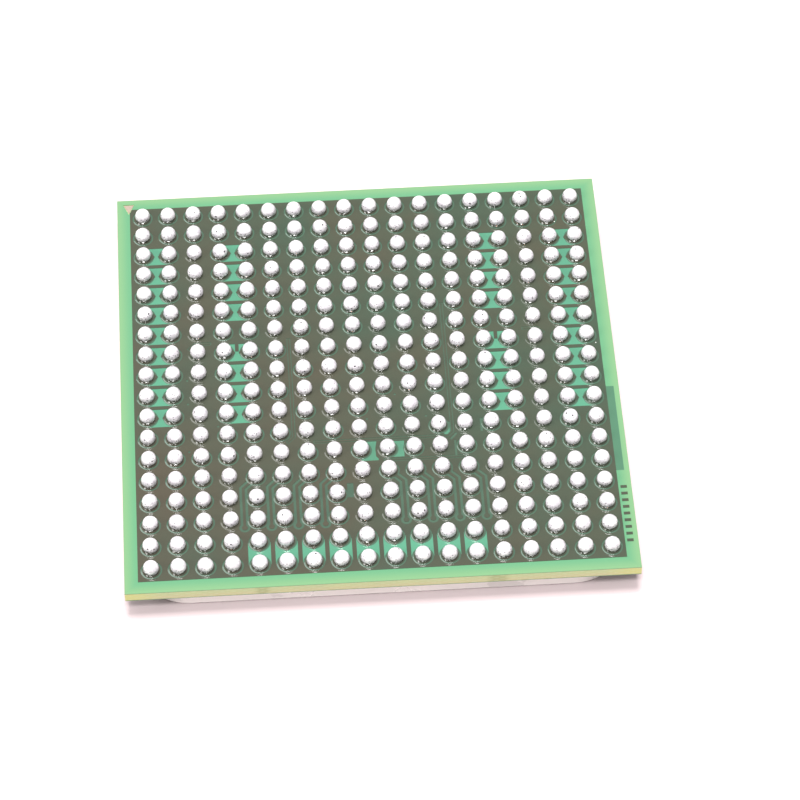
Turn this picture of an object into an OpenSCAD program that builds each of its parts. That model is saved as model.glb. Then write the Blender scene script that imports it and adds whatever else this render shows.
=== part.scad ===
// A flip-chip ball grid array, lying on its lid with the solder balls up.
// +X runs along the ball letters, -Y along the ball numbers, and +Z is the way
// that the balls point. Ball A1 is at the far left corner, by the gold mark.
// The origin is the middle of the lid's flat face.

/* [Package] */
// Distance between the centres of neighbouring balls
ball_pitch = 1; // [0.9:0.01:1.27]
// From the centres of the outer balls to the sawn edge of the substrate
edge_to_ball = 1; // [0.85:0.01:1.5]
// Thickness of the bare laminate
core_thickness = 0.37; // [0.2:0.01:1]
// Thickness of each outer copper layer
copper_thickness = 0.018; // [0.01:0.001:0.03]
// Solder mask above the copper
mask_over_copper = 0.02; // [0.012:0.001:0.04]
// How far the mask sinks where there is no copper under it
mask_dip = 0.01; // [0.004:0.001:0.014]

/* [Balls and pads] */
// Diameter of a solder ball at its widest
ball_diameter = 0.62; // [0.56:0.01:0.7]
// Diameter of the opening in the mask that a ball stands in
mask_opening = 0.52; // [0.4:0.01:0.54]
// How far the ball laps over the edge of its opening
ball_lap = 0.006; // [0.002:0.001:0.012]
// Diameter of a copper pad under the mask
pad_diameter = 0.68; // [0.58:0.01:0.71]
// Bare ring between a pad and the copper plane
pad_clearance = 0.06; // [0.03:0.005:0.075]
// Copper left outside the outermost rings
plane_border = 0.1; // [0.02:0.01:0.2]

/* [Tracks] */
// Width of a track that leaves a pad
pad_track_width = 0.105; // [0.06:0.005:0.13]
// Bare strip on each side of a track that leaves a pad
pad_track_clearance = 0.1; // [0.06:0.005:0.12]
// Width of a track that crosses the plane
long_track_width = 0.08; // [0.05:0.005:0.11]
// Bare hairline on each side of a track that crosses the plane
hairline = 0.03; // [0.02:0.005:0.05]
// Width of the bare window that two paired pads share
window_width = 0.84; // [0.81:0.01:0.88]
// Gap between the tips of two paired teardrops
teardrop_gap = 0.14; // [0.08:0.01:0.19]
// Width of a teardrop at its tip
teardrop_tip = 0.05; // [0.02:0.01:0.1]
// Width of a finger of the plane that reaches between two teardrops
finger_width = 0.14; // [0.08:0.01:0.18]
// From a finger's tip to the line between its two pads
finger_stop = 0.06; // [0.03:0.01:0.2]
// Radius of the land at the end of a track
land_radius = 0.11; // [0.07:0.01:0.14]
// Radius of a pin hole in the copper plane
pinhole_radius = 0.045; // [0.025:0.005:0.075]

/* [Margin bars] */
// Number of plain copper bars in the right margin
bar_count = 9; // [2:1:12]
// Width of a bar
bar_width = 0.125; // [0.06:0.005:0.2]
// From the edge of the copper plane to the bars
bar_gap = 0.08; // [0.04:0.01:0.15]
// From the sawn edge of the substrate to the bars
bar_inset = 0.18; // [0.05:0.01:0.25]

/* [Pin A1 mark] */
// Width of the gold triangle
mark_width = 0.4; // [0.25:0.01:0.5]
// Length of the gold triangle
mark_length = 0.42; // [0.25:0.01:0.55]
// From the substrate's edges to the triangle
mark_inset = 0.26; // [0.15:0.01:0.35]
// Bare ring between the triangle and the mask, and the mask's lap on to the laminate there
mark_clearance = 0.025; // [0.01:0.005:0.04]
// Thickness of the gold on the mark's copper
gold_thickness = 0.004; // [0.001:0.001:0.01]

/* [Lid] */
// From the substrate's edge to the lid's side
lid_setback = 0.31; // [0.15:0.01:0.7]
// Outer corner radius of the lid
lid_corner = 2.1; // [1:0.05:3]
// Thickness of the lid over the die
lid_plate = 0.4; // [0.25:0.01:1.2]
// Width of the foot that is glued to the substrate
foot_width = 2.2; // [1.25:0.05:3]
// Corner radius inside the lid
cavity_corner = 1.1; // [0.5:0.05:2.4]
// Rounding of the lid's outer edge, left by the press
lid_edge = 0.11; // [0.05:0.01:0.18]
// Thickness of the glue under the foot
seal_thickness = 0.06; // [0.03:0.01:0.12]
// From the foot's sides to the glue
seal_inset = 0.3; // [0.1:0.05:0.5]
// Gap in the glue that lets the cavity breathe
vent_gap = 1.5; // [0.6:0.1:4]

/* [Die] */
// Side of the silicon die
die_side = 9; // [6.5:0.1:10.5]
// Thickness of the die
die_thickness = 0.345; // [0.25:0.005:0.9]
// Thermal grease between the die and the lid
grease_thickness = 0.05; // [0.02:0.01:0.1]
// Height of the bumps between the die and the mask
bump_height = 0.08; // [0.05:0.01:0.12]
// Diameter of a bump
bump_diameter = 0.12; // [0.07:0.01:0.18]
// Distance between neighbouring bumps
bump_pitch = 0.475; // [0.36:0.005:0.58]
// From the outermost bumps to the side of the die
bump_to_edge = 0.25; // [0.15:0.01:0.6]
// Copper around a bump's foot
land_lap = 0.03; // [0.02:0.01:0.06]
// How far the underfill spreads past the die
underfill_spread = 0.45; // [0.15:0.05:1]
// How far the underfill climbs the die's sides
underfill_climb = 0.2; // [0.05:0.01:0.24]
// From the underfill's foot to the copper frame around it
frame_gap = 0.4; // [0.1:0.05:0.8]

/* [Hidden] */
$fn = 32;
// How far shapes that join run into each other
overlap = 0.01;

ROW_LETTERS = "abcdefghjklmnprtuv";

count = len(ROW_LETTERS);
middle = (count + 1) / 2;
span = (count - 1) * ball_pitch;
body_side = span + 2 * edge_to_ball;

ball_radius = ball_diameter / 2;
opening_radius = mask_opening / 2;
pad_radius = pad_diameter / 2;
ring_radius = pad_radius + pad_clearance;
plane_side = span + 2 * (ring_radius + plane_border);

// Heights, from the lid's flat face up
die_base = lid_plate + grease_thickness;
bump_base = die_base + die_thickness;
substrate_base = bump_base + bump_height;
seal_base = substrate_base - seal_thickness;
lower_copper = substrate_base + mask_over_copper;
core_base = lower_copper + copper_thickness;
core_top = core_base + core_thickness;
copper_top = core_top + copper_thickness;
mask_top = copper_top + mask_over_copper;
mask_low_top = mask_top - mask_dip;
ball_centre = mask_top + sqrt(pow(ball_radius, 2) - pow(opening_radius + ball_lap, 2));

lid_side = body_side - 2 * lid_setback;
cavity_side = lid_side - 2 * foot_width;
bumps_across = floor((die_side - 2 * bump_to_edge) / bump_pitch) + 1;
underfill_side = die_side + 2 * underfill_spread;
frame_opening = underfill_side + 2 * frame_gap;

// Place of ball number j in letter row i, and of any point between the balls
function at(i, j) = [(i - middle) * ball_pitch, (middle - j) * ball_pitch];

function within(value, low, high) = value >= low && value <= high;

// The middle of the grid feeds the die: every second pad there is the plane itself
function power_pad(i, j) =
    within(i, 6, 13) && within(j, 7, 13) && (i + j) % 2 == 1;

function ground_pad(i, j) =
    ((i == 3 || i == 16) && within(j, 3, 12))
    || ((i == 4 || i == 14) && within(j, 14, 16))
    || (i == 9 && within(j, 14, 16))
    || (i == 5 && j == 13)
    || (i == 10 && j == 16);

function tied_pad(i, j) = power_pad(i, j) || ground_pad(i, j);

// Pads that share a bare window with the next letter row
function paired_across(i, j) =
    ((i == 1 || i == 17) && within(j, 3, 11))
    || ((i == 4 || i == 14) && within(j, 3, 11) && j != 7);

// Pads that share a bare window with the next number
function paired_along(i, j) = within(i, 5, 13) && j == 17;

// Pads whose shared window has a finger of the plane in it
function fingered(i, j) = (i == 4 || i == 14) && j == 8;

// Tracks that leave a pad, as routes in ball places
PAD_TRACKS = concat(
    [for (i = [5:8]) [[i, 14], [i - 0.5, 14.5], [i - 0.5, 16.3]]],
    [for (i = [10:13]) [[i, 14], [i + 0.5, 14.5], [i + 0.5, 16.3]]]
);

// Tracks that cross the plane with a hairline on each side
LONG_TRACKS = [
    [[6.5, 7.5], [6.5, 12.2], [6.28, 12.42]],
    [[12.5, 6.1], [12.5, 12.3], [12.3, 12.5], [7.3, 12.5]],
    [[9.9, 13.5], [12.9, 13.5]],
    [[2.68, 7.72], [2.9, 7.5], [3.45, 7.5]],
    [[16.32, 7.72], [16.1, 7.5], [15.6, 7.5]]
];

// Bare windows in the plane, as outlines in ball places
WINDOWS = [
    [[12.34, 11.85], [12.49, 11.85], [12.49, 12.3], [12.3, 12.49], [12.1, 12.35]],
    [[12.37, 12.65], [12.62, 12.36], [12.69, 12.42], [12.44, 12.71]],
    [[12.53, 12.72], [12.61, 12.72], [12.61, 13.43], [12.53, 13.43]],
    [[13.57, 11.75], [13.66, 11.75], [13.66, 12.37], [13.57, 12.37]],
    [[8.38, 14.5], [8.62, 14.5], [8.62, 15.15], [8.38, 15.15]],
    [
        [9, 12.6], [9.6, 12.6], [9.54, 12.95], [9.55, 13.3],
        [9.64, 13.42], [9.64, 13.5], [9, 13.5]
    ],
    [[10, 12.63], [10.65, 12.63], [10.62, 13], [10.62, 13.38], [10, 13.38]]
];

// The bars stand between these two numbers
BAR_NUMBERS = [15.3, 17.75];

// Pin holes in the plane, in ball places
PINHOLES = [
    [2.54, 12.67], [2.55, 10.4], [2.55, 9.26], [3.66, 11.53],
    [10.43, 10.41], [9.3, 11.52], [11.55, 11.52]
];

function unit(v) = v / norm(v);
function last(list) = list[len(list) - 1];
function reversed(list) = [for (k = [len(list) - 1:-1:0]) list[k]];

// One side of a track: its points moved sideways by reach, mitred at the bends,
// and lengthened by the same amount at both ends
function track_side(points, reach) = [
    for (k = [0:len(points) - 1])
        let (
            end = len(points) - 1,
            before = unit(points[max(k, 1)] - points[max(k, 1) - 1]),
            after = unit(points[min(k + 1, end)] - points[min(k + 1, end) - 1]),
            along = unit(before + after),
            cap = k == 0 ? -abs(reach) : k == end ? abs(reach) : 0
        )
        points[k] + cap * along
            + [-along[1], along[0]] * reach / (along * before)
];

// A track of one width along a route of ball places
module track(route, width) {
    points = [for (place = route) at(place[0], place[1])];
    polygon(concat(
        track_side(points, width / 2),
        reversed(track_side(points, -width / 2))
    ));
}

module at_pads(tied) {
    for (i = [1:count], j = [1:count])
        if (tied_pad(i, j) == tied)
            translate(at(i, j)) children();
}

module at_all_balls() {
    for (i = [1:count], j = [1:count])
        translate(at(i, j)) children();
}

// Children drawn at each paired pad, pointing along +X at the pad's partner
module at_paired_pads() {
    for (i = [1:count], j = [1:count]) {
        if (paired_across(i, j)) {
            translate(at(i, j)) children();
            translate(at(i + 1, j)) rotate(180) children();
        }
        if (paired_along(i, j)) {
            translate(at(i, j)) rotate(-90) children();
            translate(at(i, j + 1)) rotate(90) children();
        }
    }
}

module half_window() {
    translate([0, -window_width / 2])
        square([ball_pitch / 2 + overlap, window_width]);
}

// The taper that runs from a pad's sides to its tip, just inside the tangents
module teardrop() {
    tip = (ball_pitch - teardrop_gap) / 2;
    root = pad_radius - overlap;
    slope = acos(root / tip);
    shoulder = [root * cos(slope), root * sin(slope)];
    polygon([
        [0, 0], shoulder, [tip, teardrop_tip / 2],
        [tip, -teardrop_tip / 2], [shoulder[0], -shoulder[1]]
    ]);
}

// The plane's finger, down the middle of a window from its far side
module finger() {
    translate([ball_pitch / 2 - finger_width / 2, finger_stop])
        square([finger_width, window_width / 2 - finger_stop + overlap]);
}

module at_fingered_pads() {
    for (i = [1:count], j = [1:count])
        if (fingered(i, j))
            translate(at(i, j)) children();
}

// Everything that is cleared out of the ball-side plane
module plane_clearances() {
    at_pads(false) circle(ring_radius);
    at_paired_pads() half_window();
    for (route = PAD_TRACKS) {
        track(route, pad_track_width + 2 * pad_track_clearance);
        translate(at(last(route)[0], last(route)[1]))
            circle(land_radius + pad_track_clearance);
    }
    for (route = LONG_TRACKS)
        track(route, long_track_width + 2 * hairline);
    for (outline = WINDOWS)
        polygon([for (place = outline) at(place[0], place[1])]);
    for (place = PINHOLES)
        translate(at(place[0], place[1])) circle(pinhole_radius);
    mark_shape(2 * mark_clearance);
}

module ground_plane_shape() {
    difference() {
        square(plane_side, center = true);
        plane_clearances();
    }
    at_pads(true) circle(pad_radius);
    at_fingered_pads() finger();
}

module signal_shape() {
    at_pads(false) circle(pad_radius);
    at_paired_pads() teardrop();
    for (route = PAD_TRACKS) {
        track(route, pad_track_width);
        translate(at(last(route)[0], last(route)[1])) circle(land_radius);
    }
    for (route = LONG_TRACKS)
        track(route, long_track_width);
}

module margin_bars() {
    start = plane_side / 2 + bar_gap;
    step = (BAR_NUMBERS[1] - BAR_NUMBERS[0]) / (bar_count - 1);
    for (k = [0:bar_count - 1])
        translate([start, at(count, BAR_NUMBERS[0] + k * step)[1] - bar_width / 2])
            square([body_side / 2 - bar_inset - start, bar_width]);
}

module ball_copper_shape() {
    ground_plane_shape();
    signal_shape();
    margin_bars();
}

module mark_shape(grow) {
    left = -body_side / 2 + mark_inset;
    far = body_side / 2 - mark_inset;
    polygon([
        [left - grow, far + grow],
        [left + mark_width + grow, far + grow],
        [left + mark_width / 2, far - mark_length - 2 * grow]
    ]);
}

module board_shape() {
    square(body_side, center = true);
}

module at_bumps() {
    start = -(bumps_across - 1) / 2 * bump_pitch;
    for (i = [0:bumps_across - 1], j = [0:bumps_across - 1])
        translate([start + i * bump_pitch, start + j * bump_pitch])
            children();
}

module lid_side_copper_shape() {
    at_bumps() circle(bump_diameter / 2 + land_lap);
    difference() {
        square(plane_side, center = true);
        square(frame_opening, center = true);
    }
}

module rounded_square(side, radius) {
    straight = side - 2 * radius;
    square([side, straight], center = true);
    square([straight, side], center = true);
    for (x = [-1, 1], y = [-1, 1])
        translate([x * straight / 2, y * straight / 2]) circle(radius);
}

// Section of the lid's rim, from the corner's centre line out
module rim_section() {
    translate([0, lid_edge]) square([lid_corner, seal_base - lid_edge]);
    square([lid_corner - lid_edge, seal_base]);
    translate([lid_corner - lid_edge, lid_edge]) circle(lid_edge);
}

module lid_blank() {
    straight = lid_side - 2 * lid_corner;
    translate([-straight / 2, -straight / 2, 0]) cube([straight, straight, seal_base]);
    for (turn = [0:90:270])
        rotate(turn) {
            translate([straight / 2, straight / 2, 0])
                rotate_extrude(angle = 90) rim_section();
            translate([straight / 2, straight / 2, 0])
                rotate([90, 0, 0]) linear_extrude(straight) rim_section();
        }
}

module lid() {
    color("#d9d6d2")
    difference() {
        lid_blank();
        translate([0, 0, lid_plate])
            linear_extrude(seal_base) rounded_square(cavity_side, cavity_corner);
    }
}

module lid_seal() {
    outer = lid_side - 2 * seal_inset;
    inner = cavity_side + 2 * seal_inset;
    color("#4c4b49")
    translate([0, 0, seal_base])
        linear_extrude(seal_thickness)
            difference() {
                rounded_square(outer, lid_corner - seal_inset);
                rounded_square(inner, cavity_corner);
                translate([0, inner / 2])
                    square([vent_gap, outer], center = true);
            }
}

module thermal_grease() {
    color("#b9bcc0")
    translate([-die_side / 2, -die_side / 2, lid_plate])
        cube([die_side, die_side, grease_thickness]);
}

module die() {
    color("#5f6570")
    translate([-die_side / 2, -die_side / 2, die_base])
        cube([die_side, die_side, die_thickness]);
}

module die_bumps() {
    color("#c9ccd1")
    translate([0, 0, bump_base])
        linear_extrude(bump_height + mask_over_copper)
            at_bumps() circle(bump_diameter / 2);
}

// The underfill's fillet in section, from the die's side out
module fillet_section() {
    polygon([
        [0, bump_base - underfill_climb], [0, substrate_base],
        [underfill_spread, substrate_base], [underfill_spread / 3, bump_base]
    ]);
}

module underfill() {
    color("#2f3134") {
        translate([0, 0, bump_base])
            linear_extrude(bump_height)
                difference() {
                    square(die_side, center = true);
                    at_bumps() circle(bump_diameter / 2);
                }
        for (turn = [0:90:270])
            rotate(turn)
                translate([die_side / 2, die_side / 2, 0]) {
                    rotate_extrude(angle = 90) fillet_section();
                    rotate([90, 0, 0]) linear_extrude(die_side) fillet_section();
                }
    }
}

module lid_side_mask() {
    color("#8fcf9d") {
        translate([0, 0, substrate_base])
            linear_extrude(mask_over_copper)
                difference() {
                    board_shape();
                    at_bumps() circle(bump_diameter / 2);
                }
        translate([0, 0, lower_copper])
            linear_extrude(copper_thickness)
                difference() {
                    board_shape();
                    lid_side_copper_shape();
                }
    }
}

module lid_side_copper() {
    color("#b8754a")
    translate([0, 0, lower_copper])
        linear_extrude(copper_thickness) lid_side_copper_shape();
}

module laminate_core() {
    color("#d9cda2")
    translate([0, 0, core_base])
        linear_extrude(core_thickness) board_shape();
}

module ground_plane() {
    color("#b8754a")
    translate([0, 0, core_top])
        linear_extrude(copper_thickness) ground_plane_shape();
}

module signal_copper() {
    color("#c58457")
    translate([0, 0, core_top])
        linear_extrude(copper_thickness) {
            signal_shape();
            margin_bars();
        }
}

// The mask fills the gaps in the copper, covers it, and stands a little higher over it
module ball_side_mask() {
    color("#7fc79b") {
        translate([0, 0, core_top])
            linear_extrude(copper_thickness)
                difference() {
                    board_shape();
                    ball_copper_shape();
                    mark_shape(mark_clearance);
                }
        translate([0, 0, copper_top])
            linear_extrude(mask_low_top - copper_top)
                difference() {
                    board_shape();
                    at_all_balls() circle(opening_radius);
                    mark_shape(mark_clearance);
                }
        translate([0, 0, mask_low_top])
            linear_extrude(mask_dip)
                difference() {
                    ball_copper_shape();
                    at_all_balls() circle(opening_radius);
                }
    }
}

module pin_a1_mark() {
    color("#d8b48a")
    translate([0, 0, core_top])
        linear_extrude(copper_thickness + gold_thickness) mark_shape(0);
}

// A reflowed ball: a sphere cut flat where it rests on the mask, on a neck that
// fills the opening down to the pad
module solder_ball() {
    difference() {
        translate([0, 0, ball_centre]) sphere(ball_radius);
        translate([-ball_radius, -ball_radius, mask_top - ball_diameter])
            cube([ball_diameter, ball_diameter, ball_diameter]);
    }
    translate([0, 0, copper_top])
        cylinder(h = mask_over_copper, r = opening_radius);
}

module balls_row(index) {
    color("#e4e4e6")
    for (number = [1:count])
        translate(at(index + 1, number)) solder_ball();
}

lid();
lid_seal();
thermal_grease();
die();
die_bumps();
underfill();
lid_side_mask();
lid_side_copper();
laminate_core();
ground_plane();
signal_copper();
ball_side_mask();
pin_a1_mark();
for (index = [0:count - 1])
    balls_row(index);
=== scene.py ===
"""A flip-chip ball grid array that lies on its lid with the solder balls up.

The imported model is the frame. This script gives each of its pieces a finish, and puts
reflowed balls with their own small differences in the place of the plain ones.
"""
import math

import bpy
import numpy as np
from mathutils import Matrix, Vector


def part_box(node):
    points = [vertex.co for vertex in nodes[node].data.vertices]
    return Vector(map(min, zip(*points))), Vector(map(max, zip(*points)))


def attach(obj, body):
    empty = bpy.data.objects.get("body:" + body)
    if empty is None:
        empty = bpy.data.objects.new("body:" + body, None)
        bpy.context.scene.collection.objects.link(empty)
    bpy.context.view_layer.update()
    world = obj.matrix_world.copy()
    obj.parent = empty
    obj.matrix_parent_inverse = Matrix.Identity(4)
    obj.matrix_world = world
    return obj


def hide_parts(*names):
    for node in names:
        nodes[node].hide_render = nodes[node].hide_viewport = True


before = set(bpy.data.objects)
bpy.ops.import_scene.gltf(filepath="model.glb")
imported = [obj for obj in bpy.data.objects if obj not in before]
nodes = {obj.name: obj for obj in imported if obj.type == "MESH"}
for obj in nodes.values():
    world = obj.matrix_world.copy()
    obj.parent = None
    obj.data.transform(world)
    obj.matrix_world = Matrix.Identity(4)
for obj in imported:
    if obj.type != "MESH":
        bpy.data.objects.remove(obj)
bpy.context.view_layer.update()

MM = 0.001

# ---------------------------------------------------------------- sizes from the frame

BODY_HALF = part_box("laminate_core")[1].x
PLANE_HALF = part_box("ground_plane")[1].x
COPPER_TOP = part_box("ground_plane")[1].z
MASK_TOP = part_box("ball_side_mask")[1].z
CORE_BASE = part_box("laminate_core")[0].z
CORE_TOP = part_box("laminate_core")[1].z
LID_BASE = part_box("lid")[0].z
BALL_ROWS = sorted(name for name in nodes if name.startswith("balls_row_"))
# The grid is square, so a row has as many balls as there are rows
BALLS_IN_ROW = len(BALL_ROWS)
BALL_RADIUS = (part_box(BALL_ROWS[0])[1].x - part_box(BALL_ROWS[0])[0].x) / 2
BALL_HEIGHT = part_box(BALL_ROWS[0])[1].z - BALL_RADIUS
GRID_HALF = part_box(BALL_ROWS[-1])[1].x - BALL_RADIUS
BALL_PITCH = 2 * GRID_HALF / (BALLS_IN_ROW - 1)
# The mask dips where there is no copper under it: this height parts the two levels
MASK_STEP = MASK_TOP - 0.005 * MM

# ---------------------------------------------------------------- shader helpers


def rgb(red, green, blue):
    """A colour with full alpha."""
    return (red, green, blue, 1.0)


def fill(tree, made, inputs):
    """Gives a node's inputs values, or joins them to other nodes' outputs."""
    for name, value in inputs.items():
        if isinstance(value, bpy.types.NodeSocket):
            tree.links.new(value, made.inputs[name])
        else:
            made.inputs[name].default_value = value


def add(tree, kind, inputs=None, **settings):
    """Adds a node, sets its options and fills its inputs."""
    made = tree.nodes.new("ShaderNode" + kind)
    for name, value in settings.items():
        setattr(made, name, value)
    fill(tree, made, inputs or {})
    return made


def maths(tree, operation, *values):
    """The result of a Math node on one, two or three values."""
    return add(tree, "Math", dict(enumerate(values)), operation=operation).outputs[0]


def ramp(tree, value, low, high, start=0.0, end=1.0):
    """The value carried from low..high to start..end, smoothly and held at both ends."""
    inputs = {"Value": value, "From Min": low, "From Max": high, "To Min": start, "To Max": end}
    return add(tree, "MapRange", inputs, interpolation_type="SMOOTHSTEP").outputs[0]


def mix(tree, share, first, second):
    """The first colour turning into the second as share goes from 0 to 1."""
    return add(tree, "Mix", {0: share, 6: first, 7: second}, data_type="RGBA").outputs[2]


def bump(tree, height, distance, normal=None):
    """The normal of a surface that rises by this distance as height goes from 0 to 1."""
    inputs = {"Height": height, "Distance": distance, "Strength": 1.0}
    if normal is not None:
        inputs["Normal"] = normal
    return add(tree, "Bump", inputs).outputs[0]


def group(name, inputs, outputs):
    """An empty node group with named sockets, and its input and output nodes."""
    tree = bpy.data.node_groups.new(name, "ShaderNodeTree")
    for socket, kind in inputs.items():
        tree.interface.new_socket(name=socket, in_out="INPUT", socket_type="NodeSocket" + kind)
    for socket, kind in outputs.items():
        tree.interface.new_socket(name=socket, in_out="OUTPUT", socket_type="NodeSocket" + kind)
    return tree, tree.nodes.new("NodeGroupInput").outputs, tree.nodes.new("NodeGroupOutput")


def place(tree, effect, **inputs):
    """Places a node group in a material, with this material's own values."""
    made = tree.nodes.new("ShaderNodeGroup")
    made.node_tree = effect
    fill(tree, made, inputs)
    return made.outputs


def grain_effect():
    """Fine lumps of one size, as a value and as a bumped normal."""
    tree, given, result = group(
        "grain",
        {"Vector": "Vector", "Size": "Float", "Height": "Float", "Normal": "Vector"},
        {"Value": "Float", "Normal": "Vector"},
    )
    scale = maths(tree, "DIVIDE", 1.0, given["Size"])
    noise = add(tree, "TexNoise", {"Vector": given["Vector"], "Scale": scale, "Detail": 3.0})
    value = noise.outputs[0]
    fill(tree, result, {
        "Value": value, "Normal": bump(tree, value, given["Height"], given["Normal"]),
    })
    return tree


def blotch_effect():
    """Broad soft patches: 0 and 1 are the two ends, and Contrast sharpens their edges."""
    tree, given, result = group(
        "blotches",
        {"Vector": "Vector", "Size": "Float", "Contrast": "Float"},
        {"Mask": "Float"},
    )
    scale = maths(tree, "DIVIDE", 1.0, given["Size"])
    noise = add(tree, "TexNoise", {"Vector": given["Vector"], "Scale": scale, "Detail": 4.0})
    spread = maths(tree, "SUBTRACT", noise.outputs[0], 0.5)
    spread = maths(tree, "MULTIPLY_ADD", spread, given["Contrast"], 0.5)
    fill(tree, result, {"Mask": add(tree, "Clamp", {"Value": spread}).outputs[0]})
    return tree


SPECK_CORE = 0.4


def speck_effect():
    """Small round specks: one in each cell, in the given share of the cells.

    A speck is whole as far as SPECK_CORE of its radius, and fades out from there.
    """
    tree, given, result = group(
        "specks",
        {"Vector": "Vector", "Cell": "Float", "Radius": "Float", "Share": "Float"},
        {"Mask": "Float"},
    )
    scale = maths(tree, "DIVIDE", 1.0, given["Cell"])
    cells = add(tree, "TexVoronoi", {"Vector": given["Vector"], "Scale": scale}).outputs
    reach = maths(tree, "DIVIDE", given["Radius"], given["Cell"])
    near = ramp(tree, maths(tree, "DIVIDE", cells["Distance"], reach), 1.0, SPECK_CORE)
    parts = add(tree, "SeparateColor", {"Color": cells["Color"]}).outputs
    chosen = maths(tree, "LESS_THAN", parts[0], given["Share"])
    fill(tree, result, {"Mask": maths(tree, "MULTIPLY", near, chosen)})
    return tree


GRAIN = grain_effect()
BLOTCHES = blotch_effect()
SPECKS = speck_effect()
# Most of a grain's values lie between these two
GRAIN_VALUES = (0.3, 0.7)


def finish(name, **constants):
    """A material with its own Principled shader. The constants are the same all over."""
    made = bpy.data.materials.new(name)
    made.use_nodes = True
    tree = made.node_tree
    tree.nodes.clear()
    shader = add(tree, "BsdfPrincipled", {k.replace("_", " "): v for k, v in constants.items()})
    surface = add(tree, "OutputMaterial", {"Surface": shader.outputs[0]})
    surface.is_active_output = True
    where = add(tree, "TexCoord").outputs["Object"]
    return made, tree, shader, where


def feed(tree, shader, **sockets):
    """Joins what changes over the surface to the shader."""
    fill(tree, shader, {name.replace("_", " "): socket for name, socket in sockets.items()})


# ---------------------------------------------------------------- solder

# Heights on a ball are in radii over its widest line. The frosted skin fades out between
# these two, which waver downwards by up to FROST_WAVER
FROST_END = (-0.12, 0.12)
FROST_WAVER = 0.35
# How much the fine frost adds to the dents, and the depth that a value of 1 stands for
FROST_IN_DENTS = 0.3
SKIN_DEPTH = 0.02 * MM
# Grains are rarest over the first height and most common under the second: the share of
# cells that have one grows by GRAIN_GAIN from GRAIN_LEAST
GRAIN_HEIGHTS = (0.75, -0.1)
GRAIN_LEAST = 0.10
GRAIN_GAIN = 0.8
GRAIN_DARKNESS = 0.65
HOLLOW_DEPTH = 0.012 * MM
MIRROR_COLOUR = rgb(0.72, 0.71, 0.70)
SKIN_COLOURS = rgb(0.62, 0.595, 0.605), rgb(0.42, 0.395, 0.42)
PIT_COLOUR = rgb(0.03, 0.028, 0.028)
# Of the mirror, and of the frosted skin
SOLDER_METALLIC = (1.0, 0.35)
SOLDER_ROUGHNESS = (0.07, 0.42)


def solder_finish():
    """Reflowed solder: frosted white down to a little under its widest line, then a mirror.

    The border between the two wavers. Dark grains lie mostly low on the ball, and a few
    wider pits anywhere on it.
    """
    made, tree, shader, where = finish("ball_solder", Coat_Weight=0.35, Coat_Roughness=0.05)
    height = add(tree, "SeparateXYZ", {"Vector": where}).outputs["Z"]
    height = maths(tree, "DIVIDE", maths(tree, "SUBTRACT", height, BALL_HEIGHT), BALL_RADIUS)
    waver = place(tree, BLOTCHES, Vector=where, Size=0.16 * MM, Contrast=2.0)["Mask"]
    frosted = ramp(tree, maths(tree, "MULTIPLY_ADD", waver, FROST_WAVER, height), *FROST_END)
    frost = place(tree, GRAIN, Vector=where, Size=0.035 * MM)["Value"]
    dents = place(tree, GRAIN, Vector=where, Size=0.17 * MM)["Value"]
    rough = maths(tree, "MULTIPLY_ADD", frost, FROST_IN_DENTS, dents)
    lumps = bump(tree, maths(tree, "MULTIPLY", rough, frosted), SKIN_DEPTH)
    low = ramp(tree, height, *GRAIN_HEIGHTS)
    grains = place(
        tree, SPECKS, Vector=where, Cell=0.08 * MM, Radius=0.038 * MM,
        Share=maths(tree, "MULTIPLY_ADD", low, GRAIN_GAIN, GRAIN_LEAST),
    )["Mask"]
    pits = place(
        tree, SPECKS, Vector=where, Cell=0.28 * MM, Radius=0.055 * MM, Share=0.3,
    )["Mask"]
    dark = maths(tree, "MAXIMUM", maths(tree, "MULTIPLY", grains, GRAIN_DARKNESS), pits)
    stain = place(tree, BLOTCHES, Vector=where, Size=0.25 * MM, Contrast=3.0)["Mask"]
    colour = mix(tree, frosted, MIRROR_COLOUR, mix(tree, stain, *SKIN_COLOURS))
    feed(
        tree, shader,
        Base_Color=mix(tree, dark, colour, PIT_COLOUR),
        Normal=bump(tree, dark, -HOLLOW_DEPTH, lumps),
        Metallic=ramp(tree, frosted, 0.0, 1.0, *SOLDER_METALLIC),
        Roughness=ramp(tree, frosted, 0.0, 1.0, *SOLDER_ROUGHNESS),
    )
    return made


# ---------------------------------------------------------------- solder mask

# Places on the board are ball letters and ball numbers, both counted from 1, so 2.5 is
# midway between the second and the third. Reaches are shares of the ball pitch.

# The right margin is darker beside these ball numbers, over this share of its width
DARK_NUMBERS = (10.53, 14.53)
DARK_SHARE = 0.6
# A pad's bare ring reaches this far from its ball's middle
RING_REACH = 0.41
# The mask climbs a little round each ball, from the first reach in to the second
COLLAR = (0.405, 0.325)
COLLAR_HEIGHT = 0.009 * MM
# Pin holes in the copper: letter and number, and how far each reaches
PIN_HOLES = [
    (2.54, 12.67), (2.55, 10.4), (2.55, 9.26), (3.66, 11.53),
    (10.43, 10.41), (9.3, 11.52), (11.55, 11.52),
]
PIN_HOLE_REACH = 0.09
# Where tracks run close together: first and last letter, then first and last number
NARROW_GAPS = [
    (4.2, 8.0, 13.7, 16.7), (10.0, 13.8, 13.7, 16.7),
    (6.1, 6.62, 7.4, 12.6), (12.4, 12.6, 6.0, 12.6),
    (7.2, 12.6, 12.42, 12.58), (9.8, 13.0, 13.42, 13.58),
    (2.6, 3.55, 7.4, 7.8), (15.5, 16.4, 7.4, 7.8),
    (12.35, 12.72, 12.34, 12.71), (12.5, 12.65, 12.7, 13.45),
    (13.55, 13.68, 11.73, 12.4), (8.36, 8.64, 14.45, 15.2),
]
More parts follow.
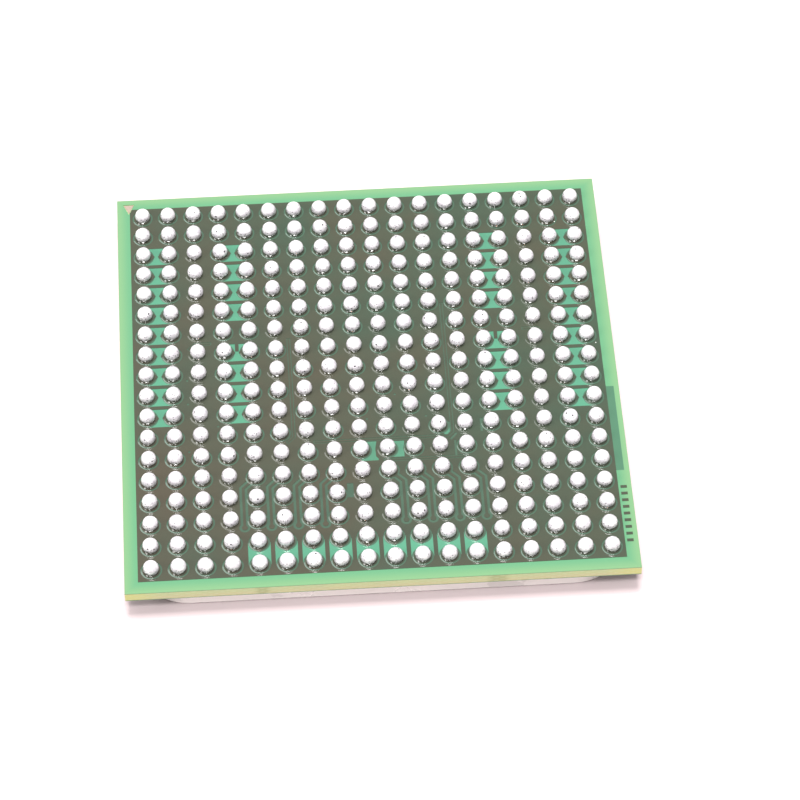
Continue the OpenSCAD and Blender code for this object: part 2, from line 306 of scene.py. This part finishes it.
# The bare windows near the middle, deeper in colour than the others
DEEP_PLACE = (8.9, 12.52, 11.8, 13.52)
# How much each kind of gap is darkened with painted shade, which stands in for the shade that falls
# into the rings round the balls, into narrow gaps and into pin holes: 0 is a wide window, and 1 the
# darkest that the mask gets
RING_SHADE = 0.85
NARROW_GAP_SHADE = 0.9
DEEP_DIMNESS = 0.3
# Over copper the mask grows warmer towards the front left, up to this far from the middle
WARM_DISTANCE = 8 * MM
WARM_SHARE = 0.3
# Colours in pairs are the two ends of a cloudy or a gradual change
WINDOW_COLOURS = rgb(0.036, 0.122, 0.076), rgb(0.041, 0.140, 0.086)
# Painted shade: the dark greens that rings, narrow gaps and pin holes turn to
PAINTED_SHADE_COLOURS = rgb(0.024, 0.040, 0.027), rgb(0.028, 0.047, 0.031)
BORDER_COLOURS = rgb(0.054, 0.152, 0.078), rgb(0.088, 0.172, 0.083)
OLIVE_COLOURS = rgb(0.032, 0.030, 0.018), rgb(0.020, 0.036, 0.022)
WARM_COLOUR = rgb(0.038, 0.025, 0.019)
DARK_COLOUR = rgb(0.032, 0.086, 0.050)
DUST_COLOUR = rgb(0.7, 0.7, 0.66)
# Of the clean mask, and of dust on it
MASK_ROUGHNESS = (0.08, 0.6)


def ball_place(letter, number):
    """Where a place in the ball grid lies, in X and Y."""
    middle = (BALLS_IN_ROW + 1) / 2
    return (letter - middle) * BALL_PITCH, (middle - number) * BALL_PITCH


def from_ball(tree, axes):
    """How far a place is from the middle of the nearest ball, as a share of the pitch."""
    squares = []
    for way in ("X", "Y"):
        share = maths(tree, "FRACT", maths(tree, "DIVIDE", axes[way], BALL_PITCH))
        offset = maths(tree, "SUBTRACT", share, 0.5)
        squares.append(maths(tree, "MULTIPLY", offset, offset))
    return maths(tree, "SQRT", maths(tree, "ADD", *squares))


def between(tree, value, low, high):
    """1 where the value lies between low and high, and 0 elsewhere."""
    over = maths(tree, "GREATER_THAN", value, low)
    return maths(tree, "MULTIPLY", over, maths(tree, "LESS_THAN", value, high))


def inside(tree, axes, left, right, bottom, top):
    """1 inside a rectangle in X and Y, and 0 elsewhere."""
    across = between(tree, axes["X"], left, right)
    return maths(tree, "MULTIPLY", across, between(tree, axes["Y"], bottom, top))


def among_balls(tree, axes, first, last, start, end):
    """1 between two ball letters and between two ball numbers, and 0 elsewhere."""
    left, top = ball_place(first, start)
    right, bottom = ball_place(last, end)
    return inside(tree, axes, left, right, bottom, top)


def painted_gap_shade(tree, axes, reach):
    """How much painted shade darkens each gap of the copper, standing in for the shade that falls
    into it: 0 in a wide window, and more where it is narrow.
    """
    ring = maths(tree, "LESS_THAN", reach, RING_REACH)
    deep = among_balls(tree, axes, *DEEP_PLACE)
    gap_shade = maths(
        tree, "MAXIMUM", maths(tree, "MULTIPLY", ring, RING_SHADE),
        maths(tree, "MULTIPLY", deep, DEEP_DIMNESS),
    )
    holes = [
        (letter - PIN_HOLE_REACH, letter + PIN_HOLE_REACH,
         number - PIN_HOLE_REACH, number + PIN_HOLE_REACH)
        for letter, number in PIN_HOLES
    ]
    for gap in NARROW_GAPS + holes:
        narrow = maths(tree, "MULTIPLY", among_balls(tree, axes, *gap), NARROW_GAP_SHADE)
        gap_shade = maths(tree, "MAXIMUM", gap_shade, narrow)
    return gap_shade


def ball_side_colour(tree, axes, cloud, colour):
    """Adds the ball side's own colours: a dark patch in the margin, and olive over copper."""
    top, bottom = (ball_place(0, number)[1] for number in DARK_NUMBERS)
    side = PLANE_HALF + DARK_SHARE * (BODY_HALF - PLANE_HALF)
    dark = inside(tree, axes, PLANE_HALF, side, bottom, top)
    colour = mix(tree, dark, colour, DARK_COLOUR)
    # The mean of how far to the left and how far to the front a place is
    half_front = maths(tree, "MULTIPLY", axes["Y"], -0.5)
    nearness = maths(tree, "MULTIPLY_ADD", axes["X"], -0.5, half_front)
    warm = maths(tree, "MULTIPLY", ramp(tree, nearness, -WARM_DISTANCE, WARM_DISTANCE), WARM_SHARE)
    olive = mix(tree, warm, mix(tree, cloud, *OLIVE_COLOURS), WARM_COLOUR)
    return mix(tree, maths(tree, "GREATER_THAN", axes["Z"], MASK_STEP), colour, olive)


def mask_finish(name, ball_side):
    """Glossy green solder mask: dark where copper lies under it, bright over bare laminate."""
    made, tree, shader, where = finish(name, IOR=1.52)
    axes = add(tree, "SeparateXYZ", {"Vector": where}).outputs
    from_middle = maths(
        tree, "MAXIMUM", maths(tree, "ABSOLUTE", axes["X"]), maths(tree, "ABSOLUTE", axes["Y"]),
    )
    margin = maths(tree, "GREATER_THAN", from_middle, PLANE_HALF)
    outward = ramp(tree, from_middle, PLANE_HALF, BODY_HALF)
    cloud = place(tree, BLOTCHES, Vector=where, Size=2.8 * MM, Contrast=2.2)["Mask"]
    window = mix(tree, cloud, *WINDOW_COLOURS)
    border = mix(tree, outward, *BORDER_COLOURS)
    peel_inputs = {"Vector": where, "Size": 0.3 * MM, "Height": 0.0010 * MM}
    if ball_side:
        reach = from_ball(tree, axes)
        # Painted shade: rings, narrow gaps and pin holes turn dark green, standing in for the shade
        # that falls into them
        window = mix(tree, painted_gap_shade(tree, axes, reach), window, mix(tree, cloud, *PAINTED_SHADE_COLOURS))
        inner = maths(tree, "SUBTRACT", 1.0, margin)
        collar = maths(tree, "MULTIPLY", ramp(tree, reach, *COLLAR), inner)
        peel_inputs["Normal"] = bump(tree, collar, COLLAR_HEIGHT)
    colour = mix(tree, margin, window, border)
    if ball_side:
        colour = ball_side_colour(tree, axes, cloud, colour)
    dust = place(
        tree, SPECKS, Vector=where, Cell=1.1 * MM, Radius=0.025 * MM, Share=0.12,
    )["Mask"]
    feed(
        tree, shader,
        Base_Color=mix(tree, dust, colour, DUST_COLOUR),
        Normal=place(tree, GRAIN, **peel_inputs)["Normal"],
        Roughness=ramp(tree, dust, 0.0, 1.0, *MASK_ROUGHNESS),
    )
    return made


# ---------------------------------------------------------------- laminate

PLIES = 2
YARN_PITCH = 0.42 * MM
# The yarn ends begin to show at the first strength of the weave and are whole at the second
YARN_SHOWS = (-0.2, 0.9)
YARN_SHARE = 0.3
YARN_COLOUR = rgb(0.39, 0.44, 0.28)
RESIN_COLOURS = rgb(0.345, 0.38, 0.185), rgb(0.32, 0.355, 0.185)
# Lower down the resin is browner: from and to where, as shares of the board's height
LOWER_PART = (0.8, 0.1)
LOWER_SHARE = 0.7
LOWER_COLOUR = rgb(0.38, 0.335, 0.185)
# Painted glow: within this distance of a corner the resin is painted yellower, standing in for light
# that shines through the board from its sides
CORNER_LENGTH = 1.6 * MM
CORNER_GLOW_COLOUR = rgb(0.40, 0.40, 0.145)
# Soft dark marks on the front edge: where their middle is, and half their length
EDGE_MARKS = [(-4.45 * MM, 0.35 * MM), (4.2 * MM, 0.5 * MM)]
# This share of a mark's half length is dark all over, and the rest fades out
MARK_CORE = 0.3
MARK_SHARE = 0.45
MARK_COLOUR = rgb(0.16, 0.19, 0.07)
# The front edge is what lies within this distance of the frontmost place
FRONT_DEPTH = 0.05 * MM
SAWN_ROUGHNESS = (0.5, 0.75)


def edge_marks(tree, axes):
    """1 in the middle of each soft mark on the front edge, and 0 beside them."""
    marked = 0.0
    for middle, half in EDGE_MARKS:
        off = maths(tree, "ABSOLUTE", maths(tree, "SUBTRACT", axes["X"], middle))
        marked = maths(tree, "MAXIMUM", ramp(tree, off, half, MARK_CORE * half), marked)
    front = maths(tree, "LESS_THAN", axes["Y"], FRONT_DEPTH - BODY_HALF)
    return maths(tree, "MULTIPLY", marked, front)


def laminate_finish():
    """The sawn edge of the board: cream resin, with the ends of the glass yarns as dashes.

    The dashes are the sine of the height, one wave for each ply, times the sine of the way
    along the edge.
    """
    made, tree, shader, where = finish("board_laminate", IOR=1.5)
    axes = add(tree, "SeparateXYZ", {"Vector": where}).outputs
    along = maths(tree, "ADD", axes["X"], axes["Y"])
    over_base = maths(tree, "SUBTRACT", axes["Z"], CORE_BASE)
    height = maths(tree, "DIVIDE", over_base, CORE_TOP - CORE_BASE)
    ply = maths(tree, "SINE", maths(tree, "MULTIPLY", height, 2 * math.pi * PLIES))
    yarn = maths(tree, "SINE", maths(tree, "MULTIPLY", along, 2 * math.pi / YARN_PITCH))
    weave = ramp(tree, maths(tree, "MULTIPLY", ply, yarn), *YARN_SHOWS)
    cloud = place(tree, BLOTCHES, Vector=where, Size=0.9 * MM, Contrast=2.5)["Mask"]
    lower = maths(tree, "MULTIPLY", ramp(tree, height, *LOWER_PART), LOWER_SHARE)
    resin = mix(tree, lower, mix(tree, cloud, *RESIN_COLOURS), LOWER_COLOUR)
    from_end = maths(
        tree, "MINIMUM", maths(tree, "ABSOLUTE", axes["X"]), maths(tree, "ABSOLUTE", axes["Y"]),
    )
    # Painted glow near the corners, for light that shines through the board's sides
    corner_glow = ramp(tree, from_end, BODY_HALF - CORNER_LENGTH, BODY_HALF)
    resin = mix(tree, corner_glow, resin, CORNER_GLOW_COLOUR)
    marked = maths(tree, "MULTIPLY", edge_marks(tree, axes), MARK_SHARE)
    resin = mix(tree, marked, resin, MARK_COLOUR)
    sawn = place(tree, GRAIN, Vector=where, Size=0.05 * MM, Height=0.004 * MM)
    feed(
        tree, shader,
        Base_Color=mix(tree, maths(tree, "MULTIPLY", weave, YARN_SHARE), resin, YARN_COLOUR),
        Normal=sawn["Normal"],
        Roughness=ramp(tree, sawn["Value"], *GRAIN_VALUES, *SAWN_ROUGHNESS),
    )
    return made


# ---------------------------------------------------------------- lid

# Rolling lines and scratches are grain and blotches pressed together this much across Y,
# the scratches after a turn
ROLLING = (1.0, 24.0, 1.0)
SCRATCHES = (1.0, 30.0, 1.0)
SCRATCH_TURN = (0.0, 0.0, 0.5)
# Scratches show only where both their own blotches and the smudges are strong: from where
# each begins to count, to where it counts in full
SCRATCH_SHOWS = (0.9, 1.0)
SMUDGE_SHOWS = (0.2, 0.8)
SCRATCH_SHARE = 0.4
NICKEL_COLOURS = rgb(0.92, 0.895, 0.86), rgb(0.78, 0.76, 0.73)
SCRATCH_COLOUR = rgb(0.50, 0.49, 0.47)
SCUFF_COLOUR = rgb(0.62, 0.60, 0.57)
# Of the clean metal, and of smudges on it
NICKEL_ROUGHNESS = (0.24, 0.42)


def nickel_finish():
    """Plated lid: bright satin metal with faint rolling lines, smudges and scuffs."""
    made, tree, shader, where = finish("lid_nickel", Metallic=0.55)
    rolled = add(tree, "Mapping", {"Vector": where, "Scale": ROLLING}).outputs[0]
    lines = place(tree, GRAIN, Vector=rolled, Size=1.3 * MM, Height=0.0015 * MM)["Normal"]
    satin = place(
        tree, GRAIN, Vector=where, Size=0.04 * MM, Height=0.0012 * MM, Normal=lines,
    )["Normal"]
    smudge = place(tree, BLOTCHES, Vector=where, Size=3.5 * MM, Contrast=2.4)["Mask"]
    scuffs = place(
        tree, SPECKS, Vector=rolled, Cell=1.6 * MM, Radius=0.16 * MM, Share=0.2,
    )["Mask"]
    turned = add(
        tree, "Mapping", {"Vector": where, "Rotation": SCRATCH_TURN, "Scale": SCRATCHES},
    ).outputs[0]
    scratch = place(tree, BLOTCHES, Vector=turned, Size=2.4 * MM, Contrast=9.0)["Mask"]
    scratch = maths(
        tree, "MULTIPLY", ramp(tree, scratch, *SCRATCH_SHOWS), ramp(tree, smudge, *SMUDGE_SHOWS),
    )
    scratch = maths(tree, "MULTIPLY", scratch, SCRATCH_SHARE)
    metal = mix(tree, scratch, mix(tree, smudge, *NICKEL_COLOURS), SCRATCH_COLOUR)
    feed(
        tree, shader, Base_Color=mix(tree, scuffs, metal, SCUFF_COLOUR),
        Normal=satin, Roughness=ramp(tree, smudge, 0.0, 1.0, *NICKEL_ROUGHNESS),
    )
    return made


# ---------------------------------------------------------------- inner pieces

# How far the roughness of an even finish goes to each side of its middle
ROUGHNESS_SPREAD = 0.08


def plain_finish(name, light, dark, size, rough, metallic=0.0):
    """An even finish for an inner piece: two shades in patches, and a fine grain."""
    made, tree, shader, where = finish(name, Metallic=metallic)
    patches = place(tree, BLOTCHES, Vector=where, Size=size, Contrast=2.0)["Mask"]
    grain = place(tree, GRAIN, Vector=where, Size=0.06 * MM, Height=0.002 * MM)
    feed(
        tree, shader, Base_Color=mix(tree, patches, light, dark),
        Normal=grain["Normal"],
        Roughness=ramp(
            tree, grain["Value"], *GRAIN_VALUES, rough - ROUGHNESS_SPREAD, rough + ROUGHNESS_SPREAD,
        ),
    )
    return made


def dress_frame():
    """Gives every piece of the frame its finish, but for the balls, which are replaced."""
    copper = plain_finish(
        "etched_copper", rgb(0.78, 0.36, 0.22), rgb(0.62, 0.28, 0.17),
        size=0.8 * MM, rough=0.32, metallic=1.0,
    )
    finishes = {
        "lid": nickel_finish(),
        "lid_seal": plain_finish(
            "lid_glue", rgb(0.075, 0.073, 0.070), rgb(0.05, 0.05, 0.048),
            size=0.9 * MM, rough=0.55,
        ),
        "thermal_grease": plain_finish(
            "grease", rgb(0.52, 0.53, 0.55), rgb(0.44, 0.45, 0.48),
            size=0.7 * MM, rough=0.42,
        ),
        "die": plain_finish(
            "silicon", rgb(0.16, 0.17, 0.20), rgb(0.12, 0.13, 0.16),
            size=2.0 * MM, rough=0.16, metallic=0.6,
        ),
        "die_bumps": plain_finish(
            "bump_solder", rgb(0.72, 0.72, 0.74), rgb(0.62, 0.62, 0.65),
            size=0.2 * MM, rough=0.3, metallic=1.0,
        ),
        "underfill": plain_finish(
            "underfill_resin", rgb(0.045, 0.047, 0.052), rgb(0.03, 0.032, 0.036),
            size=0.6 * MM, rough=0.35,
        ),
        "lid_side_mask": mask_finish("lid_side_solder_mask", ball_side=False),
        "lid_side_copper": copper,
        "laminate_core": laminate_finish(),
        "ground_plane": copper,
        "signal_copper": copper,
        "ball_side_mask": mask_finish("ball_side_solder_mask", ball_side=True),
        "pin_a1_mark": plain_finish(
            "mark_gold", rgb(0.21, 0.16, 0.13), rgb(0.17, 0.13, 0.10),
            size=0.1 * MM, rough=0.4, metallic=0.2,
        ),
    }
    for name, material in finishes.items():
        nodes[name].data.materials.clear()
        nodes[name].data.materials.append(material)


# ---------------------------------------------------------------- solder balls

BALL_SEGMENTS = 14
BALL_RINGS = 6
WIDTH_SPREAD = 0.03
HEIGHT_SPREAD = 0.03
DRIFT = 0.01 * MM
LUMP_WAVES = np.array([2.0, 3.0, 5.0])
LUMP_DEPTH = 0.03
# A ball's own differences are whole from 1 / GROWTH of the way up, and none at its foot
GROWTH = 3
SEED = 18


def ball_surfaces(centres, random):
    """Reflowed balls, one for each centre.

    Ring k of a ball lies at the latitude that goes evenly from the foot, where the sphere
    meets the mask, towards the crown. A point at latitude a and turn t is
    radius * (cos a cos t, cos a sin t, sin a), with its width and height scaled a little,
    and sunk by up to LUMP_DEPTH of the radius: by the mean of three waves, each the sine
    of LUMP_WAVES times the point's share along a random direction. The foot keeps its true
    place on the mask, and these differences grow from there. Below the foot a straight neck
    goes down to the pad. The last two points are the middle of the neck's end and the crown.
    """
    count = len(centres)
    foot_angle = math.asin((MASK_TOP - BALL_HEIGHT) / BALL_RADIUS)
    angle = np.linspace(foot_angle, math.pi / 2, BALL_RINGS + 1)[:-1]
    turn = np.linspace(0, 2 * math.pi, BALL_SEGMENTS, endpoint=False)
    turn, angle = np.meshgrid(turn, angle)
    unit = np.stack(
        [np.cos(angle) * np.cos(turn), np.cos(angle) * np.sin(turn), np.sin(angle)], axis=-1,
    ).reshape(-1, 3)
    crown = np.array([[0.0, 0.0, 1.0]])
    unit = np.concatenate([unit, crown])
    heading = random.normal(size=(count, len(LUMP_WAVES), 3))
    heading /= np.linalg.norm(heading, axis=-1, keepdims=True)
    phase = random.uniform(0, 2 * math.pi, size=(count, 1, len(LUMP_WAVES)))
    waves = np.sin(np.einsum("pk,cwk->cpw", unit, heading) * LUMP_WAVES + phase).mean(axis=-1)
    lump = 1 - LUMP_DEPTH * (1 + waves) / 2
    spread = np.array([WIDTH_SPREAD, WIDTH_SPREAD, HEIGHT_SPREAD])
    scale = 1 - random.uniform(0, 1, size=(count, 1, 3)) * spread
    swollen = unit[None] * lump[..., None] * scale * BALL_RADIUS
    true = unit[None] * BALL_RADIUS
    over_foot = (unit[:, 2] - math.sin(foot_angle)) / (1 - math.sin(foot_angle))
    share = np.clip(GROWTH * over_foot, 0, 1)[None, :, None]
    drift = random.uniform(-DRIFT, DRIFT, size=(count, 1, 3)) * [1, 1, 0]
    points = true + share * (swollen + drift - true) + centres[:, None]
    foot = points[:, :BALL_SEGMENTS]
    neck = foot * [1, 1, 0] + [0, 0, COPPER_TOP]
    middle = np.concatenate([centres[:, :2], np.full((count, 1), COPPER_TOP)], axis=1)
    return np.concatenate([neck, points[:, :-1], middle[:, None], points[:, -1:]], axis=1)


def ball_faces(count):
    """Faces of the balls: quads between neighbouring rings, and fans at both ends."""
    rings = BALL_RINGS + 1
    this = np.arange(BALL_SEGMENTS)
    after = (this + 1) % BALL_SEGMENTS
    quads = np.concatenate([
        np.stack([this + k, after + k, after + k + BALL_SEGMENTS, this + k + BALL_SEGMENTS], axis=1)
        for k in np.arange(rings - 1) * BALL_SEGMENTS
    ])
    last = (rings - 1) * BALL_SEGMENTS
    middle, crown = rings * BALL_SEGMENTS, rings * BALL_SEGMENTS + 1
    fans = np.concatenate([
        np.stack([after, this, np.full(BALL_SEGMENTS, middle)], axis=1),
        np.stack([this + last, after + last, np.full(BALL_SEGMENTS, crown)], axis=1),
    ])
    step = np.arange(count)[:, None, None] * (crown + 1)
    return (quads + step).reshape(-1, 4).tolist() + (fans + step).reshape(-1, 3).tolist()


def solder_row(node, material, random):
    """One row of reflowed balls in the place of the frame's plain ones."""
    low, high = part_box(node)
    across = (low.x + high.x) / 2
    along = np.linspace(low.y + BALL_RADIUS, high.y - BALL_RADIUS, BALLS_IN_ROW)
    centres = np.stack(
        [np.full(BALLS_IN_ROW, across), along, np.full(BALLS_IN_ROW, BALL_HEIGHT)], axis=1,
    )
    points = ball_surfaces(centres, random).reshape(-1, 3)
    mesh = bpy.data.meshes.new(node.replace("balls", "solder"))
    mesh.from_pydata(points.tolist(), [], ball_faces(BALLS_IN_ROW))
    mesh.shade_smooth()
    mesh.materials.append(material)
    piece = bpy.data.objects.new(mesh.name, mesh)
    bpy.context.scene.collection.objects.link(piece)
    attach(piece, "root")
    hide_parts(node)


# ---------------------------------------------------------------- table, light and camera

FLOOR_HALF = 800 * MM
TABLE_COLOURS = rgb(0.36, 0.295, 0.30), rgb(0.35, 0.29, 0.295)
# Each lamp's azimuth and elevation in degrees, width and height in metres, and power in watts
LAMPS = {
    "top_box": (180, 84, 0.60, 0.60, 74),
    "side_box": (-70, 36, 0.80, 0.60, 25),
    "flash": (-6, 66, 0.66, 0.30, 39),
    "back_box": (-145, 63, 0.80, 0.80, 9),
}
LAMP_DISTANCE = 2.0
TENT_STRENGTH = 0.88
AIM = Vector((1.115, -1.20, 1.321)) * MM
CAMERA_AZIMUTH = math.radians(-3.65)
CAMERA_ELEVATION = math.radians(52.38)
CAMERA_DISTANCE = 133.46 * MM
LENS_MM = 157.65
SENSOR_MM = 36.0
CLIP_RANGE = (1 * MM, 10.0)


def away(azimuth, elevation):
    """The direction from the object to a place round it, with azimuth 0 in front."""
    return Vector((
        math.sin(azimuth) * math.cos(elevation),
        -math.cos(azimuth) * math.cos(elevation),
        math.sin(elevation),
    ))


def white_table():
    """The plain pale floor that the lid lies on: a flat square at the height of its face."""
    made, tree, shader, where = finish("white_table", Roughness=0.9)
    tone = place(tree, BLOTCHES, Vector=where, Size=30 * MM, Contrast=1.0)["Mask"]
    feed(tree, shader, Base_Color=mix(tree, tone, *TABLE_COLOURS))
    mesh = bpy.data.meshes.new("table_top")
    corners = [(-1, -1), (1, -1), (1, 1), (-1, 1)]
    mesh.from_pydata([(x * FLOOR_HALF, y * FLOOR_HALF, LID_BASE) for x, y in corners], [], [range(4)])
    mesh.materials.append(made)
    floor = bpy.data.objects.new("table_top", mesh)
    bpy.context.scene.collection.objects.link(floor)


def lamp(name, azimuth, elevation, width, height, watts):
    """A soft box that faces the object, with its width level."""
    light = bpy.data.lights.new(name, "AREA")
    light.shape = "RECTANGLE"
    light.size = width
    light.size_y = height
    light.energy = watts
    back = away(math.radians(azimuth), math.radians(elevation))
    box = bpy.data.objects.new(name, light)
    box.location = back * LAMP_DISTANCE
    box.rotation_euler = (-back).to_track_quat("-Z", "Y").to_euler()
    bpy.context.scene.collection.objects.link(box)


def light_tent():
    """White tent all round, a strong box over the back, and three weaker ones."""
    world = bpy.data.worlds.new("light_tent")
    world.use_nodes = True
    background = world.node_tree.nodes["Background"]
    fill(world.node_tree, background, {"Color": rgb(1.0, 1.0, 1.0), "Strength": TENT_STRENGTH})
    bpy.context.scene.world = world
    for name, settings in LAMPS.items():
        lamp(name, *settings)


def camera():
    """A long lens from in front and above, aimed a little off the part's middle."""
    data = bpy.data.cameras.new("camera")
    data.lens = LENS_MM
    data.sensor_width = SENSOR_MM
    data.clip_start, data.clip_end = CLIP_RANGE
    seen_from = bpy.data.objects.new("camera", data)
    back = away(CAMERA_AZIMUTH, CAMERA_ELEVATION)
    seen_from.location = AIM + back * CAMERA_DISTANCE
    seen_from.rotation_euler = (-back).to_track_quat("-Z", "Y").to_euler()
    bpy.context.scene.collection.objects.link(seen_from)
    bpy.context.scene.camera = seen_from


ball_solder = solder_finish()
dress_frame()
draws = np.random.default_rng(SEED)
for row in BALL_ROWS:
    solder_row(row, ball_solder, draws)
white_table()
light_tent()
camera()
bpy.context.scene.view_settings.view_transform = "Standard"
